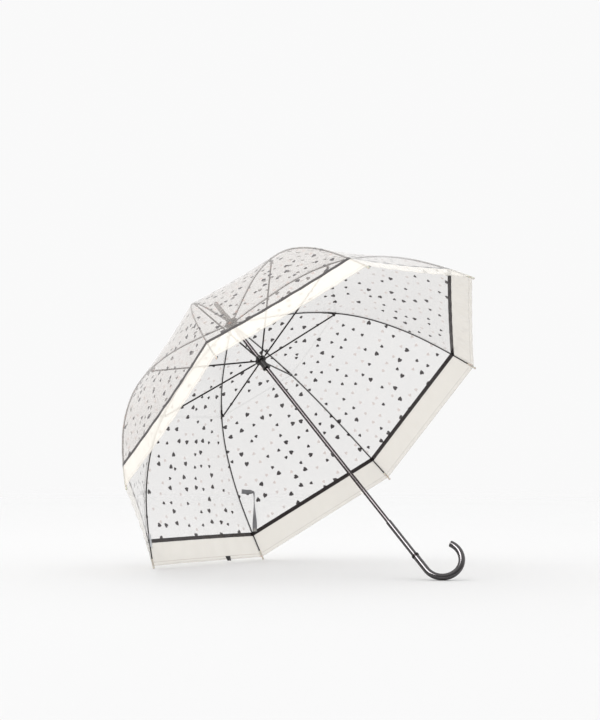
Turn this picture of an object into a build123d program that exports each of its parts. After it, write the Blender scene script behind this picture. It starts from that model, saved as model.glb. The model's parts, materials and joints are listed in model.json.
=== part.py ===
"""Clear bubble umbrella, open and lying on its rim and hook. Millimetres.

Everything is drawn about the shaft first: z runs down the shaft from the top notch to
the hook, and azimuth 0 is the side that faces the floor. lay_down() then turns and
lifts each piece into the stored frame: +Z up off the floor, +X towards the hook.
"""

from build123d import *
from math import acos, cos, degrees, radians, sin, sqrt
import os

os.makedirs("parts", exist_ok=True)

# ---- driving dimensions -------------------------------------------------------
RIBS = 8
STEP = 360 / RIBS
HALF = STEP / 2

PIVOT_R = 8.0              # radius of both wire rings, top notch and runner
ARM = 238.0                # notch pivot to rib joint, and rib joint to runner pivot
JOINT_Z = 58.0             # depth of the rib joints below the notch pivots
OPEN_ANGLE = degrees(acos(JOINT_Z / ARM))
JOINT_R = PIVOT_R + ARM * sin(radians(OPEN_ANGLE))
RUNNER_Z = 2 * JOINT_Z     # depth of the runner pivots

RIB_R = 1.3                # rib wire radius
NOTCH_SLOPE = 6.5          # the rib leaves the notch this many degrees below level
INNER_BENDS = ((120.0, 3.1), (117.8, 15.8))                   # (length, turn in degrees)
OUTER_BENDS = ((100.0, 18.3), (120.0, 15.3), (126.5, 7.5))
FLEX_AHEAD = 7.0           # flex pin sits this far past the joint, along the rib
ARM_WIRE_R = 1.7           # stretcher wire radius
PLATE_IN, PLATE_T = 1.2, 0.8
TIP_LENGTH, TIP_R, TIP_BALL_R = 19.0, 2.0, 2.5

FILM_T = 0.4
FILM_LIFT = 2.3            # middle of the film above the rib's centreline
FILM_EYE = 13.0            # the film starts at this radius, under the crown cap
S_HEM = 565.0              # the hem's station along the ribs
FILM_GAP = 0.3

SHAFT_R, SHAFT_BORE = 4.5, 3.7
SHAFT_TOP, SHAFT_END = -40.0, 700.0
RUNNING = 0.05
SEAT_R = SHAFT_R + RUNNING
FERRULE_TOP = -70.0
CAP_TOP, CAP_UNDER, CAP_R = -8.0, -3.2, 15.5
HUB_R, HUB_NECK_R, SLOT_W = 12.0, 6.2, 1.6
RUNNER_TOP, RUNNER_LENGTH, RUNNER_R = -10.0, 35.0, 7.4

CATCH_TOP = RUNNER_Z + RUNNER_TOP + RUNNER_LENGTH + 0.4
LATCH_TOP = 506.0
CATCH_LENGTH, CATCH_OUT, CATCH_W, CATCH_AZ = 13.0, 3.2, 1.6, 330.0

SLEEVE_TOP, SLEEVE_END, SLEEVE_R = 595.0, 686.6, 5.9
RING_TOP, RING_END, RING_R = 687.0, 692.0, 7.7
HOOK_TOP, BEND_Z = 692.4, 727.0
HOOK_R, HOOK_BEND_R, HOOK_TURN, HOOK_AZ = 6.8, 38.6, 207.0, 134.0
END_ROUND = 1.2            # softened edge of the hook's cut end

STRAP_W, STRAP_T = 10.0, 0.6
STRAP_ROOT = (519.0, -154.5)   # station along the panel, and distance from its middle line
STRAP_FOLD = (446.0, -113.0)
STRAP_END = (427.5, -134.5)
STRAP_CLEAR = 0.9              # film's middle to the strap's near side


# ---- helpers ------------------------------------------------------------------
def across(x, z, radius, width, y=0.0):
    """A round bar or disc square to a rib's plane, centred on (x, z)."""
    return Pos(x, y, z) * Rot(90, 0, 0) * Cylinder(radius, width)


def ring(z0, z1, outer, inner):
    """A plain tube about the shaft from z0 to z1."""
    tall = z1 - z0
    return Pos(0, 0, (z0 + z1) / 2) * (Cylinder(outer, tall) - Cylinder(inner, tall + 2))


def wire(path, radius):
    """A round wire along a path."""
    return sweep(sections=Plane(origin=path @ 0, z_dir=path % 0) * Circle(radius), path=path)


def bar(start, end, width, tall):
    """A flat bar in the rib's plane between two (x, z) points."""
    dx, dz = end[0] - start[0], end[1] - start[1]
    plane = Plane(origin=((start[0] + end[0]) / 2, 0, (start[1] + end[1]) / 2),
                  x_dir=(dx, 0, dz), z_dir=(0, 1, 0))
    return plane * Box(sqrt(dx * dx + dz * dz), tall, width)


def ahead(point, angle, by):
    return (point[0] + by * cos(radians(angle)), point[1] + by * sin(radians(angle)))


def rib_at(station):
    """Radius, depth and slope of the rib's centreline, by length along it."""
    x, z, angle, left = PIVOT_R, 0.0, NOTCH_SLOPE, station
    for length, turn in INNER_BENDS + OUTER_BENDS:
        step = min(left, length)
        k = radians(turn) / length
        a, b = radians(angle), radians(angle) + k * step
        x, z = x + (sin(b) - sin(a)) / k, z - (cos(b) - cos(a)) / k
        angle, left = degrees(b), left - step
        if left <= 0:
            break
    return x, z, angle


S_KNEE = sum(length for length, _ in INNER_BENDS)
S_TIP = S_KNEE + sum(length for length, _ in OUTER_BENDS)
S_FLEX = S_KNEE + FLEX_AHEAD
KNEE, KNEE_SLOPE = rib_at(S_KNEE)[:2], rib_at(S_KNEE)[2]
TIP = rib_at(S_TIP)[:2]
FLEX, FLEX_SLOPE = rib_at(S_FLEX)[:2], rib_at(S_FLEX)[2]


def bend_stations(s0, s1, parts=1):
    """s0, s1 and the arc ends between them, with each stretch cut into parts."""
    ends, s = [s0], 0.0
    for length, _ in INNER_BENDS + OUTER_BENDS:
        s += length
        if s0 + 1 < s < s1 - 1:
            ends.append(s)
    ends.append(s1)
    return [a + (b - a) * i / parts for a, b in zip(ends, ends[1:]) for i in range(parts)] + [s1]


def rib_path(s0, s1):
    """Tangent arcs along the rib's centreline between two stations."""
    stations = bend_stations(s0, s1)
    arcs = []
    for a, b in zip(stations, stations[1:]):
        start, mid, end = (rib_at(s) for s in (a, (a + b) / 2, b))
        arcs.append(ThreePointArc((start[0], 0, start[1]), (mid[0], 0, mid[1]), (end[0], 0, end[1])))
    return Wire(arcs)


def at_rib(shape, n):
    return Rot(0, 0, HALF + STEP * (n - 1)) * shape


def down_reach(tilt):
    """How far the tips and the hook reach towards the floor with the shaft at tilt."""
    c, s = cos(radians(tilt)), sin(radians(tilt))
    tips = (TIP[0] * cos(radians(HALF)) * c + TIP[1] * s) + TIP_BALL_R
    along = c * cos(radians(HOOK_AZ))
    centre = HOOK_BEND_R * along + BEND_Z * s
    return tips, centre + HOOK_BEND_R * sqrt(along ** 2 + s ** 2) + HOOK_R


def lying_tilt():
    """The shaft's angle to the floor at which the rim's tips and the hook both touch."""
    low, high = 20.0, 70.0
    for _ in range(60):
        mid = (low + high) / 2
        tips, hook = down_reach(mid)
        low, high = (mid, high) if tips > hook else (low, mid)
    return (low + high) / 2


TILT = lying_tilt()
CROWN_UP = down_reach(TILT)[0]
LYING = Plane(origin=(0, 0, CROWN_UP),
              x_dir=(-sin(radians(TILT)), 0, -cos(radians(TILT))),
              z_dir=(cos(radians(TILT)), 0, -sin(radians(TILT))))


# ---- shaft group ----------------------------------------------------------------
def shaft():
    tube = ring(SHAFT_TOP, SHAFT_END, SHAFT_R, SHAFT_BORE)
    for top in (CATCH_TOP, LATCH_TOP):
        slot = Box(12, CATCH_W + 0.4, CATCH_LENGTH + 1, align=(Align.MIN, Align.CENTER, Align.MIN))
        tube -= Rot(0, 0, CATCH_AZ) * Pos(0, 0, top - 0.5) * slot
    return tube


def catch(top):
    """A sprung wedge: square shoulder towards the runner, long slope below it."""
    out = SHAFT_R + CATCH_OUT
    side = Polyline((0.4, 0, top), (out - 0.5, 0, top), (out, 0, top + 1.6),
                    (SHAFT_R - 0.1, 0, top + CATCH_LENGTH), (0.4, 0, top + CATCH_LENGTH), close=True)
    face = make_face(side)
    plate = extrude(face, amount=CATCH_W / 2, dir=(0, 1, 0), both=True)
    return Rot(0, 0, CATCH_AZ) * plate


def ferrule():
    low, high = CAP_TOP - 0.2, FERRULE_TOP
    outline = Polyline((0, 0, high), (3.2, 0, high), (4.6, 0, high + 1.6), (5.0, 0, high + 5),
                       (5.0, 0, high + 36), (6.4, 0, high + 44), (6.4, 0, low - 2.5),
                       (9.0, 0, low), (0, 0, low), close=True)
    body = revolve(make_face(outline), axis=Axis.Z)
    return body - Pos(0, 0, (SHAFT_TOP - 1 + low + 1) / 2) * Cylinder(SEAT_R, low - SHAFT_TOP + 2)


def crown_cap():
    outline = Polyline((SEAT_R, 0, CAP_TOP), (8, 0, CAP_TOP), (CAP_R - 1, 0, CAP_UNDER - 1.6),
                       (CAP_R, 0, CAP_UNDER - 0.8), (CAP_R, 0, CAP_UNDER), (SEAT_R, 0, CAP_UNDER),
                       close=True)
    return revolve(make_face(outline), axis=Axis.Z)


def hub(z, tall, top, bottom, grip_r):
    """A slotted hub: flange with one slot per rib, its wire ring, and its necks."""
    body = ring(z - tall / 2, z + tall / 2, HUB_R, SEAT_R)
    body += ring(z + top, z + tall / 2, HUB_NECK_R, SEAT_R)
    if bottom > tall / 2:
        body += ring(z + tall / 2 - 0.5, z + bottom, grip_r, SEAT_R)
    for n in range(1, RIBS + 1):
        body -= at_rib(Pos(9.9, 0, z) * Box(7.2, SLOT_W, tall + 1), n)
    body -= Pos(0, 0, z) * Torus(PIVOT_R, 0.55)
    return body + Pos(0, 0, z) * Torus(PIVOT_R, 0.5)


def top_notch():
    return hub(0, 6.0, -3.0, 8.0, HUB_NECK_R)


def runner():
    body = hub(RUNNER_Z, 6.0, RUNNER_TOP, RUNNER_TOP + RUNNER_LENGTH, RUNNER_R)
    end = RUNNER_Z + RUNNER_TOP + RUNNER_LENGTH
    return body + ring(end - 4, end, RUNNER_R + 1.4, SEAT_R)


def grip_sleeve():
    body = ring(SLEEVE_TOP, SLEEVE_END, SLEEVE_R, SEAT_R)
    return chamfer(body.edges().filter_by(GeomType.CIRCLE).group_by(Axis.Z)[0].sort_by(SortBy.RADIUS)[-1:], 0.8)


def collar_ring():
    body = ring(RING_TOP, RING_END, RING_R, SEAT_R)
    rims = body.edges().filter_by(GeomType.CIRCLE).filter_by(lambda e: e.radius > RING_R - 0.1)
    return fillet(rims, 0.8)


def hook_handle():
    """Straight socket for the shaft, then a round hook bent past a half turn, cut off square."""
    socket = Pos(0, 0, (HOOK_TOP + BEND_Z) / 2) * Cylinder(HOOK_R, BEND_Z - HOOK_TOP)
    bend = Edge.make_circle(HOOK_BEND_R, Plane(origin=(HOOK_BEND_R, 0, BEND_Z), x_dir=(-1, 0, 0),
                                               z_dir=(0, 1, 0)), 0, HOOK_TURN)
    end = Cylinder(HOOK_R, 2 * END_ROUND, align=(Align.CENTER, Align.CENTER, Align.MIN))
    end = fillet(end.edges().filter_by(GeomType.CIRCLE).sort_by(Axis.Z)[-1:], END_ROUND)
    body = socket + wire(bend, HOOK_R) + Plane(origin=bend @ 1, z_dir=bend % 1) * end
    body -= Pos(0, 0, (HOOK_TOP + SHAFT_END + 1) / 2 - 1) * Cylinder(SEAT_R, SHAFT_END + 1 - HOOK_TOP + 2)
    return Rot(0, 0, HOOK_AZ) * body


# ---- ribs and stretchers ---------------------------------------------------------
def rib_inner(n):
    """Eye on the notch wire, round wire, and the two-plate joint with its rivets."""
    neck_end = ahead((PIVOT_R, 0), NOTCH_SLOPE, 9)
    body = bar((PIVOT_R, 0), neck_end, 1.2, 2.4) + across(PIVOT_R, 0, 1.5, 1.2)
    body += wire(rib_path(6.2, S_KNEE), RIB_R)
    body -= across(PIVOT_R, 0, 0.62, 3)
    back, front = ahead(KNEE, KNEE_SLOPE, -11), FLEX
    for side in (-1, 1):
        y = side * (PLATE_IN + PLATE_T / 2)
        plate = bar(back, front, PLATE_T, 2.0) + across(*front, 1.5, PLATE_T)
        plate += bar(KNEE, (JOINT_R, JOINT_Z), PLATE_T, 4.6) + across(JOINT_R, JOINT_Z, 2.6, PLATE_T)
        body += Pos(0, y, 0) * plate
    both = 2 * (PLATE_IN + PLATE_T) + 0.4
    body += across(JOINT_R, JOINT_Z, 0.8, both) + across(*FLEX, 0.7, both)
    return at_rib(body, n)


def rib_outer(n):
    """Flat eye on the flex pin, then round wire down to the tip."""
    body = across(*FLEX, 1.7, 2.0) + bar(FLEX, rib_at(S_FLEX + 9)[:2], 2.0, 2.4)
    body += wire(rib_path(S_FLEX + 7, S_TIP - 8), RIB_R)
    return at_rib(body - across(*FLEX, 0.75, 3), n)


def rib_tip(n):
    """Moulded cap over the rib's end, with the ball that rests on the ground."""
    body = wire(rib_path(S_TIP - TIP_LENGTH, S_TIP), TIP_R) + Pos(TIP[0], 0, TIP[1]) * Sphere(TIP_BALL_R)
    return at_rib(body - wire(rib_path(S_TIP - TIP_LENGTH - 5, S_TIP - 7.6), RIB_R + 0.04), n)


def stretcher(n):
    """Straight arm from the runner wire to the joint rivet."""
    start, end = (PIVOT_R, RUNNER_Z), (JOINT_R, JOINT_Z)
    rise = OPEN_ANGLE - 90
    body = bar(start, ahead(start, rise, 10), 1.2, 2.4) + across(*start, 1.5, 1.2)
    body += bar(ahead(end, rise, -11), end, 1.8, 2.4) + across(*end, 2.1, 1.8)
    a, b = ahead(start, rise, 7.5), ahead(end, rise, -9)
    body += wire(Line((a[0], 0, a[1]), (b[0], 0, b[1])), ARM_WIRE_R)
    return at_rib(body - across(*start, 0.62, 3) - across(*end, 0.85, 3), n)


# ---- film ------------------------------------------------------------------------
def film_point(station, lift):
    """A point of a panel's middle line, lift above the rib's centreline."""
    x, z, angle = rib_at(station)
    a = radians(angle)
    return ((x + lift * sin(a)) * cos(radians(HALF)), 0, z - lift * cos(a))


def film_edge(stations, lift):
    """Arcs along the film, and the points where they start and end."""
    ends = [film_point(s, lift) for s in stations]
    mids = [film_point((a + b) / 2, lift) for a, b in zip(stations, stations[1:])]
    return [ThreePointArc(a, m, b) for a, m, b in zip(ends, mids, ends[1:])], ends[0], ends[-1]


def gore(n, s0, s1):
    """One flat-across film panel between rib n and the next, as a thin closed solid."""
    stations = bend_stations(s0, s1, 2)
    over, over_start, over_end = film_edge(stations, FILM_LIFT + FILM_T / 2)
    under, under_start, under_end = film_edge(stations, FILM_LIFT - FILM_T / 2)
    face = make_face(over + under + [Line(over_start, under_start), Line(over_end, under_end)])
    band = extrude(face, amount=240, dir=(0, 1, 0), both=True)
    reach = 700
    wide = reach * sin(radians(HALF)) / cos(radians(HALF))
    back = FILM_GAP / sin(radians(HALF))
    wedge = make_face(Polyline((back, 0, -50), (reach + back, -wide, -50), (reach + back, wide, -50),
                               close=True))
    return Rot(0, 0, STEP * n) * (band & extrude(wedge, amount=450, dir=(0, 0, 1)))


def panel_inner(n):
    return gore(n, FILM_EYE - PIVOT_R, S_FLEX - FILM_GAP)


def panel_outer(n):
    return gore(n, S_FLEX + FILM_GAP, S_HEM)


# ---- strap -----------------------------------------------------------------------
def on_panel(station, sideways, rise):
    """A point beside a panel's middle line, rise inside the film."""
    x, _, z = film_point(station, FILM_LIFT - rise)
    return Vector(x, sideways, z)


def strip(start, end, rise, wide, tall):
    """A straight box laid along the inside of a panel, from one point of it to another."""
    a, b = on_panel(*start, rise), on_panel(*end, rise)
    slope = radians(rib_at((start[0] + end[0]) / 2)[2])
    inwards = Vector(-sin(slope), 0, cos(slope) * cos(radians(HALF)))
    return Plane(origin=(a + b) / 2, x_dir=b - a, z_dir=(b - a).cross(inwards.cross(b - a))) * Box(
        (b - a).length, wide, tall)


def tie_strap():
    """Film strip inside the first panel: flat at its root, then on edge, then flat at its free end."""
    (s0, y0), (s1, y1) = STRAP_ROOT, STRAP_FOLD
    flat = STRAP_CLEAR + STRAP_T / 2
    near, last = (s0 + 0.14 * (s1 - s0), y0 + 0.14 * (y1 - y0)), (s1 + 2.0, y1 - 1.0)
    body = strip(STRAP_ROOT, near, flat, STRAP_W, STRAP_T)
    body += strip((s0 + 0.1 * (s1 - s0), y0 + 0.1 * (y1 - y0)), STRAP_FOLD, STRAP_CLEAR + STRAP_W / 2,
                  STRAP_T, STRAP_W)
    body += strip(last, STRAP_END, flat, STRAP_W, STRAP_T)
    return Rot(0, 0, STEP) * body


def strap_snap():
    """A round press stud on the strap's root."""
    rise = STRAP_CLEAR + STRAP_T
    at, top = on_panel(*STRAP_ROOT, rise + 0.8), on_panel(*STRAP_ROOT, rise + 3)
    out = (top - at).normalized()
    stud = Plane(origin=at, z_dir=out) * Cylinder(3.8, 1.0)
    return Rot(0, 0, STEP) * (stud + Plane(origin=at + out * 0.9, z_dir=out) * Cylinder(2.2, 1.0))


# ---- export ----------------------------------------------------------------------
def lay_down(shape):
    return LYING.location * shape


def save(name, shape):
    export_step(Compound(children=[s for s in shape.solids()]), f"parts/{name}.step")


def build():
    pieces = {
        "shaft": shaft(), "ferrule": ferrule(), "top_notch": top_notch(), "crown_cap": crown_cap(),
        "runner": runner(), "top_spring": catch(CATCH_TOP), "bottom_spring": catch(LATCH_TOP),
        "grip_sleeve": grip_sleeve(), "collar_ring": collar_ring(), "hook_handle": hook_handle(),
        "tie_strap": tie_strap(), "strap_snap": strap_snap(),
    }
    for n in range(1, RIBS + 1):
        pieces[f"rib_inner_{n}"] = rib_inner(n)
        pieces[f"rib_outer_{n}"] = rib_outer(n)
        pieces[f"rib_tip_{n}"] = rib_tip(n)
        pieces[f"stretcher_{n}"] = stretcher(n)
        pieces[f"film_inner_{n}"] = panel_inner(n)
        pieces[f"film_outer_{n}"] = panel_outer(n)
    placed = {name: lay_down(shape) for name, shape in pieces.items()}
    box = Compound(children=[s for shape in placed.values() for s in shape.solids()]).bounding_box()
    shift = Pos(-(box.min.X + box.max.X) / 2, -(box.min.Y + box.max.Y) / 2, -box.min.Z)
    for name, shape in placed.items():
        save(name, shift * shape)
    print("tilt", TILT, "crown up", CROWN_UP, "shift", shift.position, "box", box.size)
    print("open angle", OPEN_ANGLE, "knee", KNEE, KNEE_SLOPE, "flex", FLEX, "tip", TIP, "hem", rib_at(S_HEM))


build()
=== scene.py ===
# %% [markdown]
# # A clear bubble umbrella, lying open
# The umbrella lies on two rib tips and on the bend of its hook. The metal and plastic
# pieces come from the imported model; the clear printed film, its rim, the tie strap and the
# small plastic sleeves are made here as surfaces. First the imported model is loaded.

# %% Load the imported model
import json
import math

import bpy
import numpy as np
from mathutils import Matrix, Vector

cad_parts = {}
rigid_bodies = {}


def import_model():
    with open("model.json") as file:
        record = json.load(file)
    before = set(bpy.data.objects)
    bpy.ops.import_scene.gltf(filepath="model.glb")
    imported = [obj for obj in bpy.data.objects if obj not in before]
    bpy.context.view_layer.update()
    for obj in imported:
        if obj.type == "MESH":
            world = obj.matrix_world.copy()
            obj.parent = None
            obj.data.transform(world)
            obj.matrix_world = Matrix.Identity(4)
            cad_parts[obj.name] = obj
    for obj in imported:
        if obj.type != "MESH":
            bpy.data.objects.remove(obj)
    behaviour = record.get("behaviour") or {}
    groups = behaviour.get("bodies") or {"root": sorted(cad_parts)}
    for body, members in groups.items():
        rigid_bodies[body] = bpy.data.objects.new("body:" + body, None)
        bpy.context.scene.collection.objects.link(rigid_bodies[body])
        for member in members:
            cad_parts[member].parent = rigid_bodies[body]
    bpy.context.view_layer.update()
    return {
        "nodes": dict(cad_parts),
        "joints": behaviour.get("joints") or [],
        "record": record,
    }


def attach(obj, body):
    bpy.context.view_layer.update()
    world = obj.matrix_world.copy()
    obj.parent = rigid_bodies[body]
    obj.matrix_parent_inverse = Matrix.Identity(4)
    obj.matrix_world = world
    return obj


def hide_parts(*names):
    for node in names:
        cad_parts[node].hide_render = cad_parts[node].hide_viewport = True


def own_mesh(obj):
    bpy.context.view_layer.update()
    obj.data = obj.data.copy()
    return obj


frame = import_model()

# %% [markdown]
# ## The umbrella's own axes
# Every shape here is easiest to describe about the shaft. The crown is the middle of the
# eight rib hinges, and the shaft's direction is the line of the ferrule. From those two a
# small function turns (radius, azimuth, depth) into a place in the shared frame.

# %% Crown, shaft direction and the radial axes
hinges = [j for j in frame["joints"] if j["parent"] == "frame" and j["child"].startswith("rib_")]
CROWN = np.mean([j["pos_m"] for j in hinges], axis=0)
DOWN = -np.array(next(m for m in frame["record"]["mounts"] if m["name"] == "ferrule_end")["axis"])
DOWN = DOWN / np.linalg.norm(DOWN)
SIDE = np.array([0.0, 1.0, 0.0])
FRONT = np.cross(SIDE, DOWN)
RIBS = 8
HALF = math.pi / RIBS


def place(x, y, z, azimuth=0.0):
    """Points given along a radial line (x), across it (y) and down the shaft (z), as arrays."""
    c, s = math.cos(azimuth), math.sin(azimuth)
    x, y, z = np.broadcast_arrays(x, y, z)
    return (CROWN + (c * x - s * y)[..., None] * FRONT + (s * x + c * y)[..., None] * SIDE
            + z[..., None] * DOWN)


print("crown", CROWN.round(4), "down the shaft", DOWN.round(4))

# %% [markdown]
# ## The rib's curve
# A dome rib is nearly straight at the top, turns hard at the shoulder and straightens again
# towards the rim. It is a chain of tangent arcs, each a length and an angle it turns by.
# The curve is worked out for a whole array of lengths at once.

# %% Rib centreline from its arcs
BENDS = np.array([[0.1200, 3.1], [0.1178, 15.8], [0.1000, 18.3], [0.1200, 15.3], [0.1265, 7.5]])
NOTCH_RADIUS, NOTCH_SLOPE = 0.008, 6.5
S_KNEE, S_TIP = BENDS[:2, 0].sum(), BENDS[:, 0].sum()
S_FLEX, S_STRIPE, S_HEM = S_KNEE + 0.007, 0.5245, 0.5800


def rib_at(s):
    """Radius, depth and slope at each length s: each arc adds its own chord, up to s."""
    s = np.asarray(s, float)
    x, z = np.full(s.shape, NOTCH_RADIUS), np.zeros(s.shape)
    angle, begun = np.full(s.shape, math.radians(NOTCH_SLOPE)), 0.0
    for length, turn in BENDS:
        k = math.radians(turn) / length
        step = np.clip(s - begun, 0, length)
        after = angle + k * step
        x, z = x + (np.sin(after) - np.sin(angle)) / k, z - (np.cos(after) - np.cos(angle)) / k
        angle, begun = after, begun + length
    return x, z, angle


print("rib length", S_TIP, "tip", [round(float(v), 4) for v in rib_at(S_TIP)[:2]])

# %% [markdown]
# ## Small helpers
# One turns a grid of points into a mesh with its own UV map in metres, one gives a sheet its
# thickness, one sweeps a round section along a line, and one adds a shader node with its
# settings and links. Colours are written as sRGB hex values and turned to linear light here.

# %% Mesh helpers


def surface(name, grid, uv=None, closed=False):
    """A sheet from an (m, n, 3) grid of points; closed joins the last column to the first."""
    m, n = grid.shape[:2]
    index = np.arange(m * n).reshape(m, n)
    right = np.roll(index, -1, axis=1) if closed else index[:, 1:]
    left = index if closed else index[:, :-1]
    quads = np.stack([left[:-1], right[:-1], right[1:], left[1:]], -1).reshape(-1, 4)
    mesh = bpy.data.meshes.new(name)
    mesh.from_pydata(grid.reshape(-1, 3), [], quads.tolist())
    if uv is not None:
        layer = mesh.uv_layers.new(name="metres")
        layer.data.foreach_set("uv", uv.reshape(-1, 2)[quads.ravel()].ravel())
    mesh.polygons.foreach_set("use_smooth", np.ones(len(quads), bool))
    obj = bpy.data.objects.new(name, mesh)
    bpy.context.scene.collection.objects.link(obj)
    return obj


def thicken(obj, label, thickness):
    """Solidify gives a sheet its thickness, half to each side."""
    thick = obj.modifiers.new(label, "SOLIDIFY")
    thick.thickness, thick.offset = thickness, 0.0


def tube(name, line, radius, sides=16):
    """A round section carried along a line: each ring stands square to the line, and the
    two ends close with one flat face each."""
    along = np.gradient(line, axis=0)
    along /= np.linalg.norm(along, axis=1)[:, None]
    first = np.cross(along, SIDE if abs(along[0] @ SIDE) < 0.9 else DOWN)
    first /= np.linalg.norm(first, axis=1)[:, None]
    second = np.cross(along, first)
    turn = np.linspace(0, 2 * math.pi, sides, endpoint=False)[None, :, None]
    ring = np.cos(turn) * first[:, None] + np.sin(turn) * second[:, None]
    grid = (line[:, None] + radius[:, None, None] * ring)[:, ::-1]
    obj = surface(name, grid, closed=True)
    walls = [list(p.vertices) for p in obj.data.polygons]
    start, end = list(range(sides)), list(range(sides * (len(line) - 1), sides * len(line)))
    obj.data.clear_geometry()
    obj.data.from_pydata(grid.reshape(-1, 3), [], walls + [start[::-1], end])
    obj.data.polygons.foreach_set("use_smooth", np.array([True] * len(walls) + [False] * 2))
    return obj


# %% Colour and shader-node helpers


def srgb(code, alpha=1.0):
    """An sRGB hex code as linear light: each channel follows the sRGB curve."""
    c = np.array([int(code[i:i + 2], 16) for i in (1, 3, 5)]) / 255
    linear = np.where(c <= 0.04045, c / 12.92, ((c + 0.055) / 1.055) ** 2.4)
    return (*linear.tolist(), alpha)


def add(tree, kind, *inputs, out=None, **settings):
    """Adds one shader node and gives back one of its outputs. Settings are the node's own
    options. Inputs fill its live sockets in order, or by name in a dict, and each is a plain
    value or another node's output."""
    node = tree.nodes.new("ShaderNode" + kind)
    for key, value in settings.items():
        setattr(node, key, value)
    named = inputs[0].items() if inputs and isinstance(inputs[0], dict) else None
    pairs = [(node.inputs[k], v) for k, v in named] if named else zip(
        [socket for socket in node.inputs if socket.enabled], inputs)
    for socket, value in pairs:
        if isinstance(value, bpy.types.NodeSocket):
            tree.links.new(value, socket)
        else:
            socket.default_value = value
    return node.outputs[out] if out else next(o for o in node.outputs if o.enabled)


def finish_of(name, **values):
    """A new material with its Principled shader's own sockets set."""
    material = bpy.data.materials.new(name)
    material.use_nodes = True
    tree = material.node_tree
    shader = tree.nodes["Principled BSDF"]
    for key, value in values.items():
        shader.inputs[key.replace("_", " ")].default_value = value
    return material, tree, shader


def wear(tree, shader, grain_mm, low, high, bump=0.0):
    """Fine unevenness: noise of a real grain size moves the roughness from low to high, and
    where bump is given, lifts the surface by that many millimetres."""
    where = add(tree, "TexCoord", out="Object")
    noise = add(tree, "TexNoise", {"Vector": where, "Scale": 1000 / grain_mm, "Detail": 4.0})
    rough = add(tree, "MapRange", {"Value": noise, "To Min": low, "To Max": high})
    tree.links.new(rough, shader.inputs["Roughness"])
    if bump:
        lift = add(tree, "Bump", {"Strength": 0.5, "Distance": bump / 1000, "Height": noise})
        tree.links.new(lift, shader.inputs["Normal"])
    return noise


# %% [markdown]
# ## The metal and hard plastic
# The shaft is steel tube under black nickel, the ribs and arms are black zinc-plated spring
# steel, and the handle is moulded ABS under gunmetal plate. The plated tubes are dark with
# one sharp highlight along them; the wire is duller. Each finish differs by its grain: a
# plated tube ripples over some millimetres, while wire and moulded nylon break up at one.

# %% Hard finishes
shaft_nickel, t, s = finish_of("Black nickel plate on steel tube", Base_Color=srgb("#4e4a4b"), Metallic=1.0)
wear(t, s, 6.0, 0.10, 0.17)
grip_gloss, t, s = finish_of("Gunmetal plate on polished ABS", Base_Color=srgb("#575556"), Metallic=1.0)
wear(t, s, 9.0, 0.08, 0.15, bump=0.01)
ring_black, t, s = finish_of("Black chrome ring", Base_Color=srgb("#2c2829"), Metallic=1.0)
wear(t, s, 2.0, 0.12, 0.25)
plated, t, s = finish_of("Black plated spring wire", Base_Color=srgb("#241f1f"), Metallic=0.5)
wear(t, s, 1.2, 0.3, 0.5, bump=0.01)
nylon, t, s = finish_of("Moulded grey nylon", Base_Color=srgb("#4a4747"), IOR=1.53)
wear(t, s, 0.8, 0.4, 0.55, bump=0.02)
nylon_black, t, s = finish_of("Moulded black nylon", Base_Color=srgb("#1f1c1c"), IOR=1.53)
wear(t, s, 0.8, 0.35, 0.5, bump=0.02)
cream, t, s = finish_of("Moulded ivory polypropylene", Base_Color=srgb("#cfc8bc"), IOR=1.49,
                        Subsurface_Weight=0.2, Subsurface_Scale=0.002)
wear(t, s, 1.0, 0.3, 0.45, bump=0.01)
spring, t, s = finish_of("Bright spring steel", Base_Color=srgb("#8d8b88"), Metallic=1.0)
wear(t, s, 0.6, 0.25, 0.4)
nickel, t, s = finish_of("Nickel plated brass", Base_Color=srgb("#d9d6d0"), Metallic=1.0)
wear(t, s, 0.8, 0.15, 0.3)

finishes = {"shaft": shaft_nickel, "ferrule": nylon_black, "top_notch": nylon_black, "crown_cap": nylon_black,
            "runner": nylon_black, "grip_sleeve": grip_gloss, "collar_ring": ring_black,
            "hook_handle": grip_gloss, "top_spring": spring, "bottom_spring": spring, "strap_snap": nickel,
            "rib_inner": plated, "rib_outer": plated, "stretcher": plated, "rib_tip": cream}
for name, node in frame["nodes"].items():
    finish = finishes.get(name) or finishes.get(name.rstrip("0123456789").rstrip("_"))
    if finish:
        node.data.materials.clear()
        node.data.materials.append(finish)
print("finishes for", len(finishes), "kinds of piece")

# %% [markdown]
# ## The clear printed film
# Umbrella film is soft clear PVC or POE about a fifth of a millimetre thick. Face on it
# hardly shows, at a slant it turns milky and mirrors the room. Small hearts are printed on
# it, a little over half of them charcoal and the rest pale rose, in two sizes, scattered and
# turned at random. A dark printed stripe and an ivory band go round the rim, and the gores are welded
# together in a strip a few millimetres wide. The print follows each gore's UV map, which
# is in metres, so every size here is a real one.

# %% Heart print
HEART_SPACING, HEART_SMALL, HEART_LARGE = 0.0272, 0.0074, 0.0102
LARGE_SHARE, DARK_SHARE = 0.24, 0.55


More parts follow.
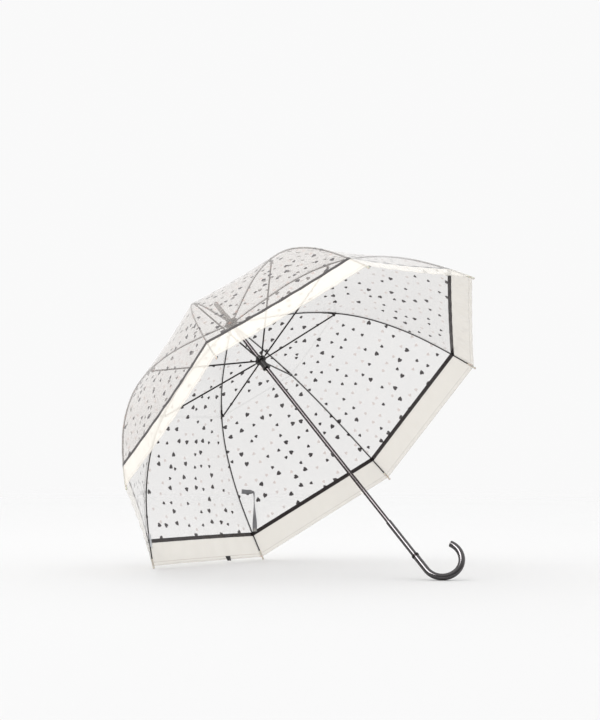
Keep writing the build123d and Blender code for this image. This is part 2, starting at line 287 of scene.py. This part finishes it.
def hearts(tree, uv):
    """Masks of the charcoal and of the pale hearts. Each cell of a Voronoi pattern holds one
    heart: x^2 + (y - 0.75 sqrt|x|)^2 < r^2 about the cell's point, turned by the cell's colour."""
    cell = add(tree, "TexVoronoi", {"Vector": uv, "Scale": 1 / HEART_SPACING, "Randomness": 0.7},
               voronoi_dimensions="2D", out="Position")
    offset = add(tree, "VectorMath", uv, cell, operation="SUBTRACT")
    dice = add(tree, "SeparateColor", cell.node.outputs["Color"], out="Red")
    angle = add(tree, "Math", dice, 2 * math.pi, operation="MULTIPLY")
    turned = add(tree, "VectorRotate", {"Vector": offset, "Angle": angle}, rotation_type="Z_AXIS")
    kind = dice.node.outputs["Green"]
    large = add(tree, "Math", kind, LARGE_SHARE, operation="LESS_THAN")
    size = add(tree, "Math", large, (HEART_LARGE - HEART_SMALL) / 2, HEART_SMALL / 2,
               operation="MULTIPLY_ADD")
    at = add(tree, "SeparateXYZ", turned, out="X")
    x = add(tree, "Math", add(tree, "Math", at, size, operation="DIVIDE"), operation="ABSOLUTE")
    y = add(tree, "Math", at.node.outputs["Y"], size, operation="DIVIDE")
    lobe = add(tree, "Math", add(tree, "Math", x, operation="SQRT"), 0.75, operation="MULTIPLY")
    lifted = add(tree, "Math", y, lobe, operation="SUBTRACT")
    square = add(tree, "Math", lifted, lifted, operation="MULTIPLY")
    shape = add(tree, "Math", x, x, square, operation="MULTIPLY_ADD")
    inside = add(tree, "MapRange", {"Value": shape, "From Min": 1.0, "From Max": 0.86})
    dark = add(tree, "Math", kind, DARK_SHARE, operation="LESS_THAN")
    pale = add(tree, "Math", 1.0, dark, operation="SUBTRACT")
    return [add(tree, "Math", inside, m, operation="MULTIPLY") for m in (dark, pale)]


# %% Film shader: print, rim, welds and haze
STRIPE_HALF, WELD = 0.0044, 0.0030
HEM_LINE, HEM_LINE_HALF = 0.008, 0.0006        # the welded line stands this far inside the hem
FACING, SLANTED, WELD_HAZE = 0.13, 0.34, 0.10  # how milky the film is face on, aslant, and more at a weld
ROSE_SHOWS, IVORY_SHOWS = 0.28, 0.46           # how opaque the pale print and the rim are
WAVE, WAVE_LIFT = 0.060, 0.0012
film, t, s = finish_of("Clear PVC film with printed hearts", IOR=1.5, Roughness=0.08)
uv = add(t, "UVMap", uv_map="metres")
along = add(t, "SeparateXYZ", uv, out="Y")
to_edge = add(t, "SeparateXYZ", add(t, "UVMap", uv_map="seam"), out="X")
dark, pale = hearts(t, uv)
# the print stops at the stripe, and the rim band begins beyond it
printed = add(t, "Math", along, S_STRIPE - STRIPE_HALF, operation="LESS_THAN")
dark = add(t, "Math", dark, printed, operation="MULTIPLY")
pale = add(t, "Math", pale, printed, operation="MULTIPLY")
stripe = add(t, "Math", along, S_STRIPE, STRIPE_HALF, operation="COMPARE")
band = add(t, "Math", along, S_STRIPE + STRIPE_HALF, operation="GREATER_THAN")
hem = add(t, "Math", along, S_HEM - HEM_LINE, HEM_LINE_HALF, operation="COMPARE")
weld = add(t, "Math", to_edge, WELD, operation="LESS_THAN")
ink = add(t, "Math", dark, stripe, operation="MAXIMUM")
# clear film lets through most light face on, and turns milky at a slant
slant = add(t, "LayerWeight", {"Blend": 0.35}, out="Facing")
haze = add(t, "MapRange", {"Value": slant, "From Min": 0.2, "From Max": 1.0,
                           "To Min": FACING, "To Max": SLANTED})
haze = add(t, "Math", weld, WELD_HAZE, haze, operation="MULTIPLY_ADD")
faint = add(t, "Math", pale, ROSE_SHOWS, operation="MULTIPLY")
ivory = add(t, "Math", band, IVORY_SHOWS, operation="MULTIPLY")
alpha = haze
for layer in (faint, ivory, ink):
    alpha = add(t, "Math", alpha, layer, operation="MAXIMUM")
t.links.new(alpha, s.inputs["Alpha"])
colour = srgb("#cbc5c0")
for mask, code in ((pale, "#cdb0a4"), (band, "#f6f1e8"), (hem, "#d9d3c9"), (dark, "#4e4a4b"),
                   (stripe, "#2b2424")):
    colour = add(t, "Mix", mask, colour, srgb(code), data_type="RGBA")
t.links.new(colour, s.inputs["Base Color"])
# slow waves of stretched film move the reflections
waves = add(t, "TexNoise", {"Vector": uv, "Scale": 1 / WAVE, "Detail": 2.0}, noise_dimensions="2D")
t.links.new(add(t, "Bump", {"Strength": 0.6, "Distance": WAVE_LIFT, "Height": waves}), s.inputs["Normal"])
print("film shader has", len(t.nodes), "nodes")

# %% [markdown]
# ## The gores
# Between two ribs the film is pulled tight, so a gore curves along the rib and is almost
# straight across, with a shallow hollow where nothing holds it, and small ripples along the
# hem. Each gore is a surface of two parameters: the length along the rib and the share of
# the way across. It is cut at the rib joints, because the canopy folds there.

# %% Gore surfaces
FILM_LIFT, FILM_THICK, SEAM = 0.0023, 0.0002, 0.0001
HOLLOW, RIPPLE, GATHER = 0.0035, 0.0007, 0.10
S_CROWN = 0.005                                # the film starts this far along the rib
TOP_WIDE, SKIRT_WIDE = 0.19, 0.345             # the widest part of each cut, laid flat


def on_panel(n, s, y, rise=0.0):
    """Points of panel n: the rib curve narrowed to the panel's middle line by cos(half a gore),
    y across it, and rise inside the film along the film's own normal."""
    r, z, slope = rib_at(s)
    x = (r + FILM_LIFT * np.sin(slope)) * math.cos(HALF)
    z = z - FILM_LIFT * np.cos(slope)
    return place(x - rise * np.sin(slope), y, z + rise * np.cos(slope), 2 * HALF * n)


def gather(piece, n, joint):
    """Gives the piece its own copy of its mesh."""
    across = place(0.0, 1.0, 0.0, 2 * HALF * n) - CROWN
    tuple(on_panel(n, 0.2, 0.0))
    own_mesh(piece)


def half_width(s):
    """Half of a gore's width at each length s: the film's radius times the sine of half a gore."""
    r, _, slope = rib_at(s)
    return (r + FILM_LIFT * np.sin(slope)) * math.sin(HALF) - SEAM


def sag(n, s, u):
    """How far the film lies inside its flat panel: the hollow is a parabola across, which
    grows with the width, and the ripples are a sine across that lives only near the hem."""
    hollow = HOLLOW * (1 - u ** 2) * np.clip(s / 0.30, 0, 1) ** 2
    return hollow + RIPPLE * np.sin(u * 23 + n * 1.7) * (1 - u ** 4) * np.clip((s - 0.50) / 0.05, 0, 1)


def gore(name, n, s0, s1, rows, columns):
    """One part of gore n: rows along the rib from s0 to s1, columns across."""
    s = np.linspace(s0, s1, rows)[:, None]
    u = np.linspace(-1, 1, columns)[None, :]
    half = half_width(s)
    grid = on_panel(n, s + 0 * u, half * u, sag(n, s, u))
    uv = np.stack(np.broadcast_arrays(half * u + 0.7 * n, s + 0 * u), -1)
    obj = surface(name, grid[:, ::-1], uv[:, ::-1])
    edge = np.stack(np.broadcast_arrays(half * (1 - np.abs(u)), s + 0 * u), -1)[:, ::-1]
    corners = np.empty(len(obj.data.loops), np.int32)
    obj.data.loops.foreach_get("vertex_index", corners)
    obj.data.uv_layers.new(name="seam").data.foreach_set("uv", edge.reshape(-1, 2)[corners].ravel())
    obj.data.materials.append(film)
    thicken(obj, "film thickness", FILM_THICK)
    return obj


for n in range(1, RIBS + 1):
    parts = ((f"film_top_{n}", f"film_inner_{n}", f"film_top_{n}_fold", S_CROWN, S_FLEX, TOP_WIDE, 40, 41),
             (f"film_skirt_{n}", f"film_outer_{n}", f"film_skirt_{n}_flex", S_FLEX, S_HEM, SKIRT_WIDE, 60, 65))
    for body, node, joint, s0, s1, width, rows, columns in parts:
        piece = gore(body + "_gore", n, s0, s1, rows, columns)
        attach(piece, body)
        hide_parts(node)
        gather(piece, n, joint)

# %% [markdown]
# ## Tie strap
# A short strip of smoked film with a press stud keeps the closed umbrella rolled. It is
# fixed inside the first panel beside a rib. It lies flat at its root, stands on its edge
# on the way up, then bends over and lies flat again at its free end. It is a ribbon: a
# line carried over the panel, and a width that turns about the line.

# %% Tie strap ribbon
STRAP_WIDE, STRAP_THICK, STRAP_CLEAR = 0.010, 0.0005, 0.0012
strap_film, t, s = finish_of("Smoked PVC strap", Base_Color=srgb("#7d7d80"), IOR=1.5, Alpha=0.82)
wear(t, s, 12.0, 0.1, 0.25)


def smooth(knots, count):
    """A Catmull-Rom line: each stretch is the cubic that leaves and meets its knots along
    the line that joins their neighbours."""
    k = np.vstack([2 * knots[0] - knots[1], knots, 2 * knots[-1] - knots[-2]])
    at = np.linspace(0, len(knots) - 1 - 1e-9, count)
    i, f = at.astype(int), (at % 1)[:, None]
    a, b, c, d = k[i], k[i + 1], k[i + 2], k[i + 3]
    square, cube = 2 * a - 5 * b + 4 * c - d, 3 * b - a - 3 * c + d
    return 0.5 * (2 * b + (c - a) * f + square * f ** 2 + cube * f ** 3)


# each knot: station, distance from the panel's middle line, and turn in degrees from flat
knots = np.array([(0.5225, -0.1565, 0), (0.5140, -0.1517, 8), (0.4930, -0.1398, 55), (0.4690, -0.1262, 88),
                  (0.4520, -0.1165, 88), (0.4445, -0.1135, 70), (0.4400, -0.1175, 30), (0.4350, -0.1250, 6),
                  (0.4278, -0.1345, 0)])
path = smooth(knots, 90)
twist = np.radians(path[:, 2])
rise = STRAP_CLEAR + 0.5 * STRAP_WIDE * np.abs(np.sin(twist))
line = on_panel(1, path[:, 0], path[:, 1], rise)
inwards = on_panel(1, path[:, 0], path[:, 1], rise + 0.001) - line
inwards /= np.linalg.norm(inwards, axis=1)[:, None]
forward = np.gradient(line, axis=0)
sideways = np.cross(forward, inwards)
sideways /= np.linalg.norm(sideways, axis=1)[:, None]
width = np.cos(twist)[:, None] * sideways + np.sin(twist)[:, None] * inwards
across = np.linspace(-0.5, 0.5, 9) * STRAP_WIDE
grid = line[:, None] + across[None, :, None] * width[:, None]
run = np.concatenate([[0], np.cumsum(np.linalg.norm(np.diff(line, axis=0), axis=1))])
strap = surface("tie_strap_ribbon", grid, np.stack(np.meshgrid(across, run), -1))
strap.data.materials.append(strap_film)
thicken(strap, "strap thickness", STRAP_THICK)
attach(strap, "film_skirt_1")
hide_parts("tie_strap")
gather(strap, 1, "film_skirt_1_flex")
print("strap length", round(float(run[-1]), 4))

# %% [markdown]
# ## Hem tab
# A small black woven tab is stitched over the hem of the panel that faces the floor. It is a
# trapezium of ribbon: a grid whose width shrinks from the hem outwards, woven fine enough
# that only its matt, slightly ribbed face shows.

# %% Hem tab
tab_cloth, t, s = finish_of("Black polyester ribbon", Base_Color=srgb("#191718"), Sheen_Weight=0.3,
                            Sheen_Roughness=0.4)
wear(t, s, 0.7, 0.75, 0.95, bump=0.08)
TAB_PANEL, TAB_AT, TAB_FROM, TAB_CLEAR = 8, 0.060, 0.5725, 0.0009
TAB_WIDE, TAB_LONG, TAB_THICK, TAB_TAPER = 0.0165, 0.0110, 0.0005, 0.24
u, v = np.meshgrid(np.linspace(-1, 1, 17), np.linspace(0, 1, 11))
station, aside = TAB_FROM + TAB_LONG * v, TAB_WIDE / 2 * u * (1 - TAB_TAPER * v)
under = sag(TAB_PANEL, station, (TAB_AT + aside) / half_width(station)) + TAB_CLEAR
grid = on_panel(TAB_PANEL, station, TAB_AT + aside, under)
tab = surface("hem_tab", grid[:, ::-1], np.stack([aside, station], -1)[:, ::-1])
tab.data.materials.append(tab_cloth)
thicken(tab, "ribbon thickness", TAB_THICK)
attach(tab, f"film_skirt_{TAB_PANEL}")
gather(tab, TAB_PANEL, f"film_skirt_{TAB_PANEL}_flex")

# %% [markdown]
# ## Rib patch
# A pale patch of thicker film is welded over one rib where it crosses the stripe, and holds
# the canopy to the rib. It is a small sheet that bows over the wire: a parabola across.

# %% Rib patch
patch_film, t, s = finish_of("Frosted PVC patch", Base_Color=srgb("#dfe2e6"), IOR=1.5, Alpha=0.86)
wear(t, s, 5.0, 0.3, 0.5)
PATCH_RIB, PATCH_FROM, PATCH_LONG, PATCH_THICK = 8, 0.509, 0.030, 0.0003
PATCH_REACH, PATCH_SHORT, PATCH_BOW = 0.0105, 0.35, 0.0024   # it reaches further on one side of the rib
u, v = np.meshgrid(np.linspace(-PATCH_SHORT, 1, 19), np.linspace(0, 1, 15))
station, aside = PATCH_FROM + PATCH_LONG * v, PATCH_REACH * u
r, z, slope = rib_at(station)
bow = PATCH_BOW * (1 - u ** 2)
grid = place(r - bow * np.sin(slope), aside, z + bow * np.cos(slope), HALF + 2 * HALF * (PATCH_RIB - 1))
patch = surface("rib_patch", grid[:, ::-1], np.stack([aside, station], -1)[:, ::-1])
patch.data.materials.append(patch_film)
thicken(patch, "patch thickness", PATCH_THICK)
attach(patch, f"rib_end_{PATCH_RIB}")

# %% [markdown]
# ## Sleeves at the rib joints
# A moulded sleeve grips the rib just above each joint, so that the arm's fork can't slide.
# It is a short tube with softened ends on the rib's own curve.

# %% Joint sleeves
SLEEVE_ABOVE = 0.0245           # the sleeve starts this far above the joint
# along the sleeve, and its radius there, in millimetres
profile = np.array([(0, 1.45), (0.6, 1.75), (1.6, 1.85), (6, 1.85), (10.4, 1.85), (11.4, 1.75),
                    (12, 1.45)]) / 1000
r, z, _ = rib_at(S_KNEE - SLEEVE_ABOVE + profile[:, 0])
for n in range(1, RIBS + 1):
    sleeve = tube(f"joint_sleeve_{n}", place(r, 0.0, z, HALF + 2 * HALF * (n - 1)), profile[:, 1])
    sleeve.data.materials.append(nylon)
    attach(sleeve, f"rib_{n}")

# %% [markdown]
# ## Floor, light and camera
# The umbrella lies on a plain pale floor in soft, bright studio light. The sky is as bright
# as the floor, so the floor's far edge melts into it. One broad light hangs overhead, and a
# softbox that reaches only the tube and handle gives them their single clear highlight.

# %% Floor
FLOOR_CLEAR, FLOOR_GONE = 1.0, 5.0
floor_mat, t, s = finish_of("Matt white studio paper", Base_Color=srgb("#f6f6f6"), Specular_IOR_Level=0.1)
wear(t, s, 3.0, 0.85, 0.95)
# far from the umbrella the paper fades into the sky, as a swept backdrop does
reach = add(t, "VectorMath", add(t, "TexCoord", out="Object"), operation="LENGTH", out="Value")
fade = add(t, "MapRange", {"Value": reach, "From Min": FLOOR_CLEAR, "From Max": FLOOR_GONE,
                           "To Min": 1.0, "To Max": 0.0}, interpolation_type="SMOOTHSTEP")
t.links.new(fade, s.inputs["Alpha"])
turn = np.linspace(0, 2 * math.pi, 97)[:-1]
radii = np.array([0.0001, 0.5, 1.5, FLOOR_GONE])
disc = np.stack([radii[:, None] * np.cos(turn), radii[:, None] * np.sin(turn),
                 np.zeros((len(radii), len(turn)))], -1)
floor = surface("studio_floor", disc, closed=True)
floor.data.materials.append(floor_mat)

# %% Sky: an even white to look at, and a lit studio to light and to mirror
bpy.context.scene.view_settings.view_transform = "Standard"
world = bpy.data.worlds.new("studio")
bpy.context.scene.world = world
world.use_nodes = True
t = world.node_tree
sky = t.nodes["Background"]
towards = add(t, "VectorMath", add(t, "TexCoord", out="Generated"), (-0.50, 0.58, 0.64),
              operation="DOT_PRODUCT", out="Value")
room = add(t, "MapRange", {"Value": towards, "From Min": -0.45, "From Max": 0.45,
                           "To Min": 0.42, "To Max": 1.15}, interpolation_type="SMOOTHSTEP")
seen = add(t, "LightPath", out="Is Camera Ray")
t.links.new(add(t, "Mix", seen, room, 0.95, data_type="FLOAT"), sky.inputs["Strength"])
sky.inputs["Color"].default_value = (1, 1, 1, 1)


def softbox(name, place_at, aim, size, power, along=(0, 0, 1)):
    """An area light at a point, facing another, with its longer side turned towards along."""
    data = bpy.data.lights.new(name, "AREA")
    data.shape, data.size, data.size_y, data.energy = "RECTANGLE", size[0], size[1], power
    obj = bpy.data.objects.new(name, data)
    bpy.context.scene.collection.objects.link(obj)
    back = (Vector(place_at) - Vector(aim)).normalized()
    right = Vector(along).cross(back).normalized()
    facing = Matrix((right, back.cross(right), back)).transposed().to_4x4()
    obj.matrix_world = Matrix.Translation(place_at) @ facing
    return obj


def light_only(light, things):
    """The light falls on these things alone, as flags round a studio lamp would make it."""
    group = bpy.data.collections.new(light.name + " falls on")
    for thing in things:
        group.objects.link(thing)
    light.light_linking.receiver_collection = group


softbox("overhead", (-0.8, -0.6, 3.2), (0, 0, 0.3), (2.5, 2.5), 6, along=(0, 1, 0))
# the other two stand where the shaft mirrors them to the front: one for the black tube and
# handle alone, its long side along the shaft, and one for everything else but the floor
BESIDE, AIM = (0.05, -2.4, 2.2), (0.1, 0, 0.25)
tube_parts = [frame["nodes"][name] for name in ("shaft", "grip_sleeve", "collar_ring", "hook_handle")]
light_only(softbox("tube softbox", BESIDE, AIM, (1.8, 2.6), 190, along=tuple(DOWN)), tube_parts)
others = [o for o in bpy.context.scene.objects if o.type == "MESH" and o is not floor and o not in tube_parts]
light_only(softbox("canopy softbox", BESIDE, AIM, (0.7, 2.0), 46, along=tuple(DOWN)), others)

# %% Camera
camera_data = bpy.data.cameras.new("camera")
camera = bpy.data.objects.new("camera", camera_data)
bpy.context.scene.collection.objects.link(camera)
camera_data.sensor_width, camera_data.lens, camera_data.clip_end = 36.0, 92.70, 200
camera.location = (2.5018, -2.9555, 0.3194)
# it looks up a little, leans a sixth of a degree and faces the umbrella from the front right
camera.rotation_euler = np.radians((91.790, -0.163, 40.613))
bpy.context.scene.camera = camera
